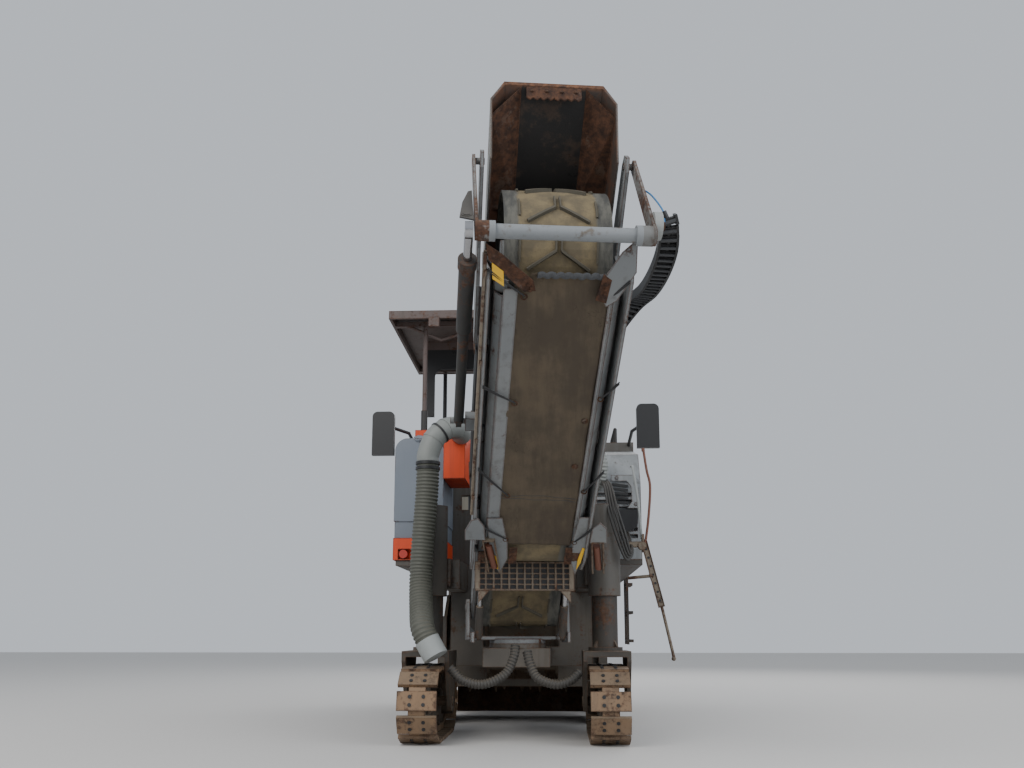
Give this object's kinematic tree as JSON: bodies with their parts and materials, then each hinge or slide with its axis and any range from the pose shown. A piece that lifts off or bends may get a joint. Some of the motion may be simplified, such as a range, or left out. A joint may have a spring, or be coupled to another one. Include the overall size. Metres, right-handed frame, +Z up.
{
  "type": "cold planer milling machine",
  "caption": "Front-loading cold planer on steered crawler tracks, with a milling drum and a folded, slewing discharge conveyor.",
  "frame": {"origin": "centre of the bounding box on the ground under the tracks", "axes": "+Z up, -Y is forward, +X is the left side of the machine"},
  "size_m": [2.248, 6.713, 3.6465],
  "materials": {
    "frame_paint": "dusty pale grey paint, worn and rust-spotted",
    "hood_paint": "faded blue-grey paint",
    "pale_paint": "chalky pale grey paint",
    "cream_paint": "dusty cream paint",
    "orange_paint": "scuffed orange paint",
    "grey_paint": "chalky grey paint with rusty edges",
    "canopy_paint": "reddish grey paint",
    "black_paint": "black paint under dust",
    "rusty_steel": "rusted bare steel",
    "worn_steel": "dusty worn steel",
    "track_steel": "bare steel shoes, dusty brown",
    "chrome_rod": "plated cylinder rod",
    "engine_iron": "engine block",
    "dusty_dark": "dusty dark paint",
    "belt_rubber": "dusty black rubber",
    "duct_rubber": "grey corrugated hose",
    "seat_vinyl": "black seat covering",
    "black_plastic": "black plastic",
    "red_lens": "red and orange lamp lenses",
    "canvas": "brown dusty canvas"
  },
  "bodies": {
    "chassis": {"main_frame": "frame_paint", "drum_housing": "frame_paint", "primary_conveyor": "dusty_dark", "tank_hood": "hood_paint", "lamp_frame": "orange_paint", "side_hood": "pale_paint", "platform": "frame_paint", "console": "black_plastic", "seat": "seat_vinyl", "handrails": "black_paint", "mirrors": "black_plastic", "pointer_arm": "rusty_steel", "exhaust": "rusty_steel", "lamps": "red_lens", "suction_duct": "duct_rubber", "engine_bay": "cream_paint", "engine_block": "engine_iron"},
    "crawler_front_left": {"crawler_frame_fl": "black_paint", "track_fl": "track_steel"},
    "crawler_front_right": {"crawler_frame_fr": "black_paint", "track_fr": "track_steel"},
    "crawler_rear_left": {"crawler_frame_rl": "black_paint", "track_rl": "track_steel"},
    "crawler_rear_right": {"crawler_frame_rr": "black_paint", "track_rr": "track_steel"},
    "drum": {"milling_drum": "worn_steel"},
    "side_plate_left": {"side_plate_left": "rusty_steel"},
    "side_plate_right": {"side_plate_right": "rusty_steel"},
    "scraper": {"scraper": "rusty_steel"},
    "slew": {"slew_yoke": "grey_paint"},
    "lift_barrels": {"lift_barrels": "black_paint"},
    "lift_rods": {"lift_rods": "chrome_rod"},
    "conveyor_lower": {"lower_frame": "grey_paint", "tunnel_cover": "grey_paint", "lower_belt": "belt_rubber", "tail_guard": "rusty_steel"},
    "fold_lever": {"fold_lever": "grey_paint"},
    "fold_barrel": {"fold_barrel": "black_paint"},
    "fold_rod": {"fold_rod": "chrome_rod"},
    "conveyor_front": {"front_frame": "grey_paint", "front_belt": "belt_rubber", "belt_cover": "canvas"},
    "canopy": {"canopy": "canopy_paint"},
    "engine_lid": {"engine_lid": "cream_paint"},
    "service_door": {"service_door": "cream_paint"}
  },
  "joints": [
    {"name": "steer_front_left", "type": "hinge", "parent": "chassis", "child": "crawler_front_left", "pos_m": [0.628, -0.61352, 0.8], "axis": [0, 0, 1], "range_deg": [-20, 20]},
    {"name": "steer_front_right", "type": "hinge", "parent": "chassis", "child": "crawler_front_right", "pos_m": [-0.628, -0.61352, 0.8], "axis": [0, 0, 1], "range_deg": [-20, 20]},
    {"name": "steer_rear_left", "type": "hinge", "parent": "chassis", "child": "crawler_rear_left", "pos_m": [0.6, 2.23649, 0.8], "axis": [0, 0, 1], "range_deg": [-15, 15]},
    {"name": "steer_rear_right", "type": "hinge", "parent": "chassis", "child": "crawler_rear_right", "pos_m": [-0.6, 2.23649, 0.8], "axis": [0, 0, 1], "range_deg": [-15, 15]},
    {"name": "drum_spin", "type": "hinge", "parent": "chassis", "child": "drum", "pos_m": [0, 0.78648, 0.59], "axis": [1, 0, 0], "continuous": true},
    {"name": "side_plate_left_lift", "type": "slide", "parent": "chassis", "child": "side_plate_left", "axis": [0, 0, 1], "range_m": [0, 0.2]},
    {"name": "side_plate_right_lift", "type": "slide", "parent": "chassis", "child": "side_plate_right", "axis": [0, 0, 1], "range_m": [0, 0.2]},
    {"name": "scraper_lift", "type": "slide", "parent": "chassis", "child": "scraper", "axis": [0, 0, 1], "range_m": [0, 0.2]},
    {"name": "conveyor_slew", "type": "hinge", "parent": "chassis", "child": "slew", "pos_m": [0, -0.61352, 0.65], "axis": [0, 0, 1], "range_deg": [-37, 22]},
    {"name": "conveyor_lift", "type": "hinge", "parent": "slew", "child": "conveyor_lower", "pos_m": [0, -0.61352, 0.9], "axis": [0.9914, 0.1305, 0], "range_deg": [-3, 15]},
    {"name": "lift_barrel_swing", "type": "hinge", "parent": "slew", "child": "lift_barrels", "pos_m": [0.03394, -0.87129, 0.7], "axis": [0.9914, 0.1305, 0], "range_deg": [-4, 20]},
    {"name": "lift_rod_slide", "type": "slide", "parent": "lift_barrels", "child": "lift_rods", "axis": [0.0612, -0.4646, 0.8834], "range_m": [-0.11, 0.03]},
    {"name": "conveyor_fold", "type": "hinge", "parent": "conveyor_lower", "child": "conveyor_front", "pos_m": [0.26633, -2.63647, 2.72003], "axis": [-0.9914, -0.1305, 0], "range_deg": [0, 180]},
    {"name": "fold_lever_swing", "type": "hinge", "parent": "conveyor_lower", "child": "fold_lever", "pos_m": [0.29354, -2.84316, 3.19129], "axis": [-0.9914, -0.1305, 0], "range_deg": [0, 120]},
    {"name": "fold_barrel_swing", "type": "hinge", "parent": "conveyor_lower", "child": "fold_barrel", "pos_m": [0.15006, -1.75335, 2.01997], "axis": [-0.9914, -0.1305, 0], "range_deg": [0, 80]},
    {"name": "fold_rod_slide", "type": "slide", "parent": "fold_barrel", "child": "fold_rod", "axis": [0.1213, -0.9215, 0.3691], "range_m": [0, 0.75]},
    {"name": "canopy_lower", "type": "slide", "parent": "chassis", "child": "canopy", "axis": [0, 0, 1], "range_m": [-0.6, 0]},
    {"name": "engine_lid_open", "type": "hinge", "parent": "chassis", "child": "engine_lid", "pos_m": [0, 2.18349, 2.342], "axis": [1, 0, 0], "range_deg": [0, 60]},
    {"name": "service_door_open", "type": "hinge", "parent": "chassis", "child": "service_door", "pos_m": [0.94, 2.19249, 1.6], "axis": [0, 0, -1], "range_deg": [0, 100]}
  ],
  "couplings": [
    {"joint": "steer_front_right", "follows": "steer_front_left", "ratio": 1},
    {"joint": "steer_rear_right", "follows": "steer_rear_left", "ratio": 1},
    {"joint": "lift_barrel_swing", "follows": "conveyor_lift", "ratio": 0.96308},
    {"joint": "lift_rod_slide", "follows": "conveyor_lift", "m_per_rad": -0.3268},
    {"joint": "fold_lever_swing", "follows": "conveyor_fold", "ratio": 0.66667},
    {"joint": "fold_barrel_swing", "follows": "conveyor_fold", "ratio": 0.1717},
    {"joint": "fold_rod_slide", "follows": "conveyor_fold", "m_per_rad": 0.20956}
  ]
}
